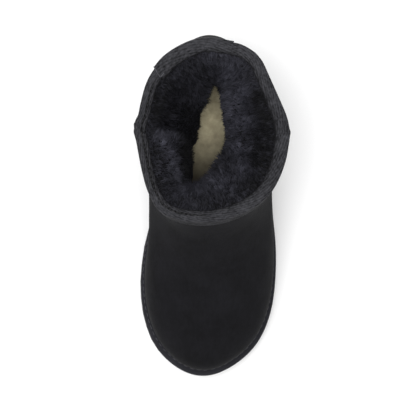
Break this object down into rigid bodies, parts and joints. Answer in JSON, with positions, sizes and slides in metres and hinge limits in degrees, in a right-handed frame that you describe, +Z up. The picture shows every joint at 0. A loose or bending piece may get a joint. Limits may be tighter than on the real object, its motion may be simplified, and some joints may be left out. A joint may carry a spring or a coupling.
{
  "type": "sheepskin ankle boot",
  "caption": "Pull-on sheepskin ankle boot for the left foot, suede outside, deep fleece inside, bound collar, wrapped platform and lugged rubber sole.",
  "frame": {"origin": "on the floor, under the middle of the boot's box", "axes": "+Z up, toe towards -Y, heel towards +Y, outer side of the left foot towards +X"},
  "size_m": [0.1154, 0.268, 0.1568],
  "materials": {
    "moulded_rubber": "matt moulded rubber",
    "wrapped_foam": "cloth-wrapped foam",
    "wool_cloth": "cream wool cloth",
    "suede": "brushed sheepskin suede",
    "wool_pile": "dyed wool pile",
    "ribbed_tape": "ribbed woven tape"
  },
  "bodies": {
    "root": {"outsole": "moulded_rubber", "midsole": "wrapped_foam", "insole": "wool_cloth", "upper": "suede", "fleece": "wool_pile", "collar_binding": "ribbed_tape"}
  },
  "joints": []
}
